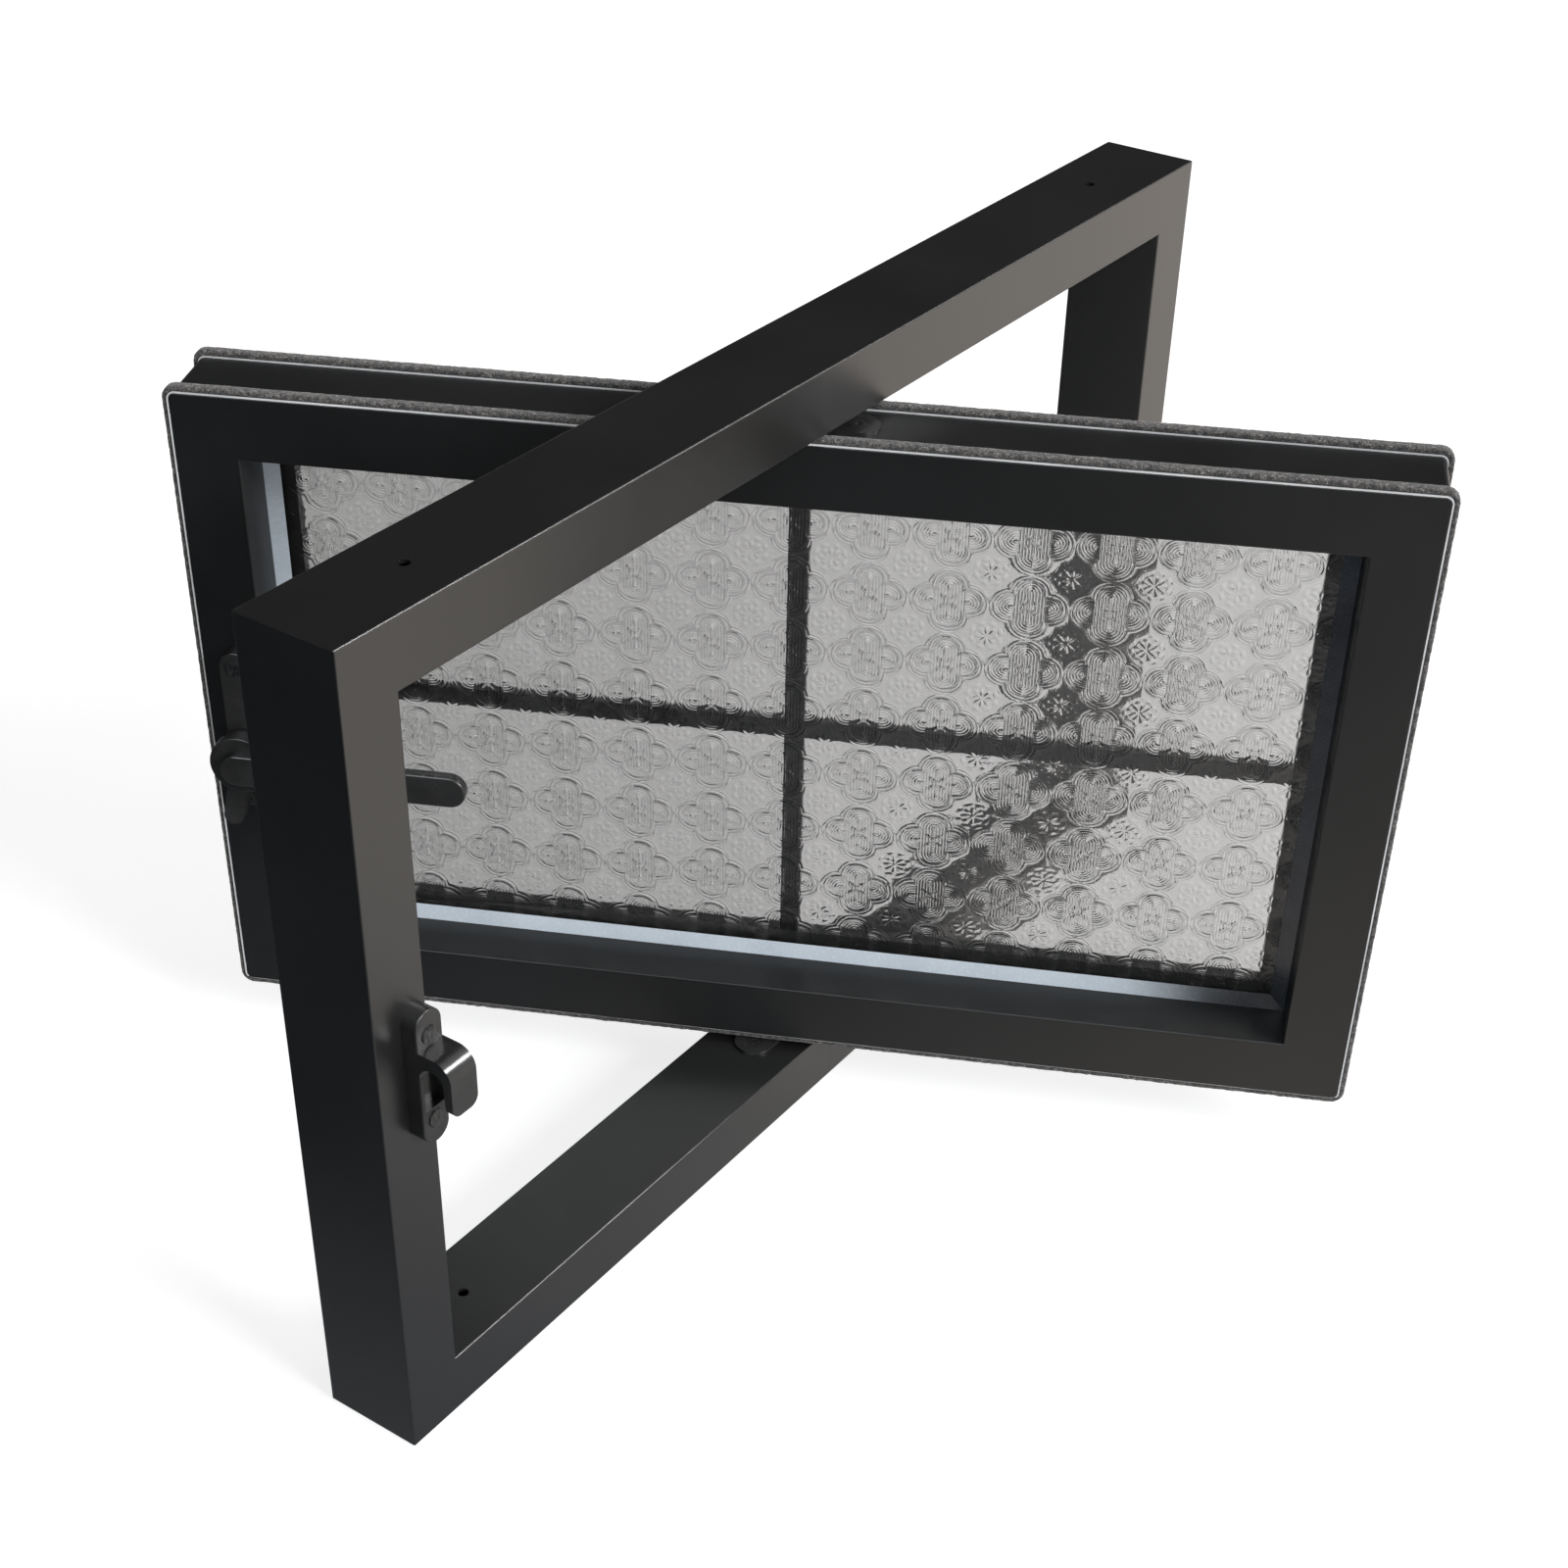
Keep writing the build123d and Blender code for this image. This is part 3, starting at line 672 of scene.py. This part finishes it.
def sweep(places, directions, profiles):
    """Vertices and faces of closed profiles of (outward, depth), one for each place."""
    count = profiles.shape[1]
    vertices = []
    for place, direction, profile in zip(places, directions, profiles):
        spot = place + np.outer(profile[:, 0], direction)
        vertices.append(np.column_stack([spot[:, 0], profile[:, 1], spot[:, 1]]))
    faces = [tuple(range(count))]
    for k in range(len(places) - 1):
        for n in range(count):
            m = (n + 1) % count
            faces.append((k * count + n, (k + 1) * count + n, (k + 1) * count + m, k * count + m))
    last = (len(places) - 1) * count
    faces.append(tuple(last + n for n in reversed(range(count))))
    return np.vstack(vertices), faces


def strip_middles():
    """Depth of the middle of the front and the rear strip, and which way is outside for each."""
    middle = SASH_DEPTH / 2 - BRUSH_SETBACK - BRUSH_WIDTH / 2
    return ((-middle, -1), (middle, 1))


def make_pile(side, material, draw):
    """Both strips of one side: a dense uneven core and loose fibres that stand out of it.

    Tones go from 0 for dark to 1 for pale. A fibre has three corners at its root and one at its tip.
    """
    places, directions = rim_path(side, PILE_STEP)
    vertices, faces, tones = [], [], []
    count = 0
    for middle, _ in strip_middles():
        steps = draw.normal(0, 1, len(places) + SWAY_SPAN - 1)
        sway = np.convolve(steps, np.ones(SWAY_SPAN) / SWAY_SPAN, "valid") * 0.5
        profiles = np.repeat(PILE_PROFILE[None], len(places), axis=0)
        profiles = profiles * (1 + draw.normal(0, PILE_UNEVEN, (len(places), len(PILE_PROFILE), 1)))
        swayed = profiles[:, :, 0] * (1 + PILE_SWAY * sway[:, None])
        profiles[:, :, 0] = np.minimum(swayed, BRUSH_HEIGHT - PILE_TOP_GAP)
        profiles[:, :, 1] = profiles[:, :, 1] + middle
        points, rings = sweep(places, directions, profiles)
        vertices.append(points)
        faces += [tuple(index + count for index in ring) for ring in rings]
        height = np.tile(PILE_PROFILE[:, 0] / BRUSH_HEIGHT, len(places))
        # Painted shade: the core is darker towards its root and paler towards its top.
        tones.append(0.12 + 0.3 * height + draw.normal(0, 0.05, len(points)))
        count += len(points)

        lengths = np.r_[0, np.cumsum(np.hypot(*np.diff(places, axis=0).T))]
        fibres = int(lengths[-1] * FIBRES_PER_MM)
        along = draw.uniform(0, lengths[-1], fibres)
        at = np.column_stack([np.interp(along, lengths, places[:, k]) for k in (0, 1)])
        out = np.column_stack([np.interp(along, lengths, directions[:, k]) for k in (0, 1)])
        out /= np.hypot(*out.T)[:, None]
        lean = draw.uniform(-1, 1, fibres)
        root = np.column_stack([draw.uniform(*FIBRE_ROOT, fibres), lean * FIBRE_ROOT_SPREAD + middle])
        short = FIBRE_ROUNDING * np.abs(lean) ** 3
        tip_out = BRUSH_HEIGHT - PILE_TOP_GAP - short - draw.uniform(0, FIBRE_UNEVEN, fibres)
        stray = draw.uniform(-FIBRE_STRAY, FIBRE_STRAY, fibres)
        tip_depth = lean * FIBRE_TIP_SPREAD + stray + middle
        tip = np.column_stack([tip_out, tip_depth])
        slip = draw.uniform(-FIBRE_SLIP, FIBRE_SLIP, fibres)
        side_way = np.column_stack([out[:, 1], -out[:, 0]])

        def spot(pair, offset):
            flat = at + out * pair[:, :1] + side_way * offset[:, None]
            return np.column_stack([flat[:, 0], pair[:, 1], flat[:, 1]])

        half = np.full(fibres, FIBRE_WIDTH / 2)
        shift = np.array([0.0, FIBRE_WIDTH])
        corners = [spot(root, half), spot(root, -half), spot(root + shift, 0 * half), spot(tip, slip)]
        points = np.stack(corners, axis=1).reshape(-1, 3)
        base = count + 4 * np.arange(fibres)
        for a, b, c in ((0, 1, 2), (0, 3, 1), (1, 3, 2), (2, 3, 0)):
            faces += np.column_stack([base + a, base + b, base + c]).tolist()
        vertices.append(points)
        # Painted shade: each fibre's root corners are darker than its tip.
        shade = draw.uniform(0, 1, fibres)
        tones.append(np.column_stack([0.2 + 0.3 * shade] * 3 + [0.45 + 0.55 * shade]).ravel())
        count += len(points)
    points = np.vstack(vertices)
    piece = new_piece("brush_pile_" + side, points, faces, material, tones=np.concatenate(tones))
    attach(piece, "sash")
    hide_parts("brush_seal_" + side)


def make_backing(side, material):
    """The woven strips under one side's fibres, with a fin along each edge.

    The bottom side's strips are narrower, and their outer fin is low.
    """
    places, directions = rim_path(side, PILE_STEP)
    vertices, faces = [], []
    count = 0
    reach = BRUSH_WIDTH / 2 + (-BACKING_MARGIN if side == "bottom" else BACKING_MARGIN)
    lip = BACKING_LOW_LIP if side == "bottom" else BACKING_OUTSIDE
    for middle, outside in strip_middles():
        front, back = middle + outside * reach, middle - outside * reach
        fin = outside * BACKING_FIN
        profile = np.array([
            (BACKING_UNDERSIDE, front), (lip, front), (lip, front - fin), (BACKING_FLOOR, front - fin),
            (BACKING_FLOOR, back + fin), (BACKING_INSIDE, back + fin), (BACKING_INSIDE, back),
            (BACKING_UNDERSIDE, back),
        ])
        points, rings = sweep(places, directions, np.repeat(profile[None], len(places), axis=0))
        vertices.append(points)
        faces += [tuple(index + count for index in ring) for ring in rings]
        count += len(points)
    piece = new_piece("brush_backing_" + side, np.vstack(vertices), faces, material, smooth=False)
    mesh = bmesh.new()
    mesh.from_mesh(piece.data)
    bmesh.ops.recalc_face_normals(mesh, faces=mesh.faces)
    mesh.to_mesh(piece.data)
    mesh.free()
    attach(piece, "sash")


# The solids' finishes
FINISHES = {
    "frame_paint": powder_coat("frame_coat", 0.007, 0.28, 0.36, 1.75, 0.02),
    "sash_paint": powder_coat("sash_coat", 0.008, 0.36, 0.44, 1.48, -0.03),
    "latch_paint": cast_metal("latch_coat", 0.022, 0.18, 0.30),
    "dark_screw": blackened_steel("screw_steel"),
    "washer": moulded("washer_plastic", 0.02, 0.5),
    "gasket": sealing_strip("gasket_rubber"),
    "spacer": moulded("spacer_sealant", 0.006, 0.4),
    "bar_paint": powder_coat("bar_coat", 0.018, 0.38, 0.46, 1.4),
    "clear_glass": clear_glass("back_pane_glass"),
}
LEVEL_FINISHES = {
    "frame_paint": powder_coat("frame_coat_level", 0.007, 0.28, 0.36, 1.75, 0.02, LEVEL),
    "sash_paint": powder_coat("sash_coat_level", 0.008, 0.36, 0.44, 1.48, -0.03, ALONG_SASH),
}
for part in frame["record"]["subparts"]:
    finish = FINISHES.get(part["material_slot"])
    if part["node"].endswith(("_rail", "bead_top", "bead_bottom")):
        finish = LEVEL_FINISHES[part["material_slot"]]
    if finish:
        NODES[part["node"]].material_slots[0].material = finish

make_front_glass(patterned_glass("front_pane_glass"))
fibre_material = pile("brush_fibre")
backing_material = woven_backing("brush_backing")
draw = np.random.default_rng(SEED)
for side in SIDES:
    make_pile(side, fibre_material, draw)
    make_backing(side, backing_material)


# Stage: a pale floor, a white surround, soft suns from the front, a glint on edges and a window glow.
# The paint's tone comes from what it mirrors: a warm floor in front of the frame, dark behind it.
# The floor's size and its gap to the frame are in metres.
FLOOR_SIZE = 40
FLOOR_GAP = 0.0003
BRIGHTER_WAY = (0.87, -0.5, 0.0)
DIFFUSE_SKY = 0.22


def floor_paper():
    """White paper to the camera, a graded floor in what the paint mirrors, plain white through glass."""
    m = Material("floor_paper")
    path = m.add("LightPath")
    direct = path.outputs["Is Camera Ray"]
    shade = m.ramp(direct, [(0.0, (0.78, 0.78, 0.78)), (1.0, (0.42, 0.42, 0.42))])
    diffuse = m.add("BsdfDiffuse", {"Color": shade})
    glow = m.add("Emission", {"Strength": m.math("MULTIPLY", direct, 0.78)})
    plain = m.add("AddShader", {0: diffuse.outputs[0], 1: glow.outputs[0]})
    beyond = m.add("Emission", {"Strength": 1.0})
    inputs = {"Value": m.along(m.place(), BRIGHTER_WAY), "From Min": -1.0, "From Max": 2.0}
    share = m.add("MapRange", inputs).outputs["Result"]
    tone = m.ramp(share, [
        (0.13, (0.04, 0.045, 0.052)), (0.24, (0.22, 0.23, 0.25)), (0.33, (0.44, 0.43, 0.42)),
        (0.40, (0.78, 0.73, 0.68)), (0.87, (1.0, 0.92, 0.85)),
    ])
    mirrored = m.add("Emission", {"Color": tone, "Strength": 1.2})
    shown = plain
    for kind, other in (("Is Glossy Ray", mirrored), ("Is Transmission Ray", beyond)):
        shown = m.add("MixShader", {0: path.outputs[kind], 1: shown.outputs[0], 2: other.outputs[0]})
    m.tree.links.new(shown.outputs[0], m.output.inputs["Surface"])
    return m.made


bpy.ops.mesh.primitive_plane_add(size=FLOOR_SIZE, location=(0, 0, -FLOOR_GAP))
floor = bpy.context.object
floor.name = "studio_floor"
floor.data.materials.append(floor_paper())

world = bpy.data.worlds.new("studio")
bpy.context.scene.world = world
world.use_nodes = True
sky = world.node_tree
sky_path = sky.nodes.new("ShaderNodeLightPath")
sky_place = sky.nodes.new("ShaderNodeTexCoord")
sky_axes = sky.nodes.new("ShaderNodeSeparateXYZ")
sky.links.new(sky_place.outputs["Generated"], sky_axes.inputs[0])
front = sky.nodes.new("ShaderNodeMapRange")
front.interpolation_type = "SMOOTHSTEP"
for key, value in {"From Min": 0.1, "From Max": -0.7, "To Min": 0.05, "To Max": 0.9}.items():
    front.inputs[key].default_value = value
sky.links.new(sky_axes.outputs["Y"], front.inputs["Value"])


def sky_mix(factor, low, high):
    node = sky.nodes.new("ShaderNodeMix")
    for key, value in (("Factor", factor), ("A", low), ("B", high)):
        if isinstance(value, bpy.types.NodeSocket):
            sky.links.new(value, node.inputs[key])
        else:
            node.inputs[key].default_value = value
    return node.outputs["Result"]


strength = sky_mix(sky_path.outputs["Is Glossy Ray"], DIFFUSE_SKY, front.outputs["Result"])
strength = sky_mix(sky_path.outputs["Is Transmission Ray"], strength, 1.0)
strength = sky_mix(sky_path.outputs["Is Camera Ray"], strength, 1.0)
sky.links.new(strength, sky.nodes["Background"].inputs["Strength"])
sky.nodes["Background"].inputs["Color"].default_value = (1, 1, 1, 1)


def add_sun(name, azimuth, elevation, strength, angle, colour, mirrored_only=False):
    lamp = bpy.data.lights.new(name, "SUN")
    lamp.energy = strength
    lamp.angle = radians(angle)
    lamp.color = colour
    sun = bpy.data.objects.new(name, lamp)
    across = cos(radians(elevation))
    level = (across * cos(radians(azimuth)), across * sin(radians(azimuth)))
    towards = Vector((*level, sin(radians(elevation))))
    sun.rotation_euler = towards.to_track_quat("Z", "Y").to_euler()
    sun.visible_diffuse = not mirrored_only
    bpy.context.scene.collection.objects.link(sun)


add_sun("front_key", -90, 28, 3.2, 22, (0.97, 0.98, 1.0))
add_sun("soft_top", -50, 66, 0.55, 50, (1.0, 0.99, 0.97))
add_sun("edge_glint", -48, 34, 2.2, 14, (1.0, 1.0, 1.0), True)
add_sun("window_glow", 186, 50, 2.0, 38, (0.88, 0.95, 1.0), True)

lens = bpy.data.cameras.new("photo_camera")
lens.sensor_width = SENSOR
lens.lens = FOCAL_PIXELS * SENSOR / PHOTO_SIZE
lens.shift_x = (PHOTO_SIZE / 2 - OPTICAL_CENTRE[0]) / PHOTO_SIZE
lens.shift_y = (OPTICAL_CENTRE[1] - PHOTO_SIZE / 2) / PHOTO_SIZE
lens.clip_start = 0.05
lens.clip_end = 100
camera = bpy.data.objects.new("photo_camera", lens)
camera.location = CAMERA_PLACE
camera.rotation_euler = [radians(a) for a in CAMERA_TURN]
bpy.context.scene.collection.objects.link(camera)
bpy.context.scene.camera = camera
bpy.context.scene.view_settings.view_transform = "Standard"
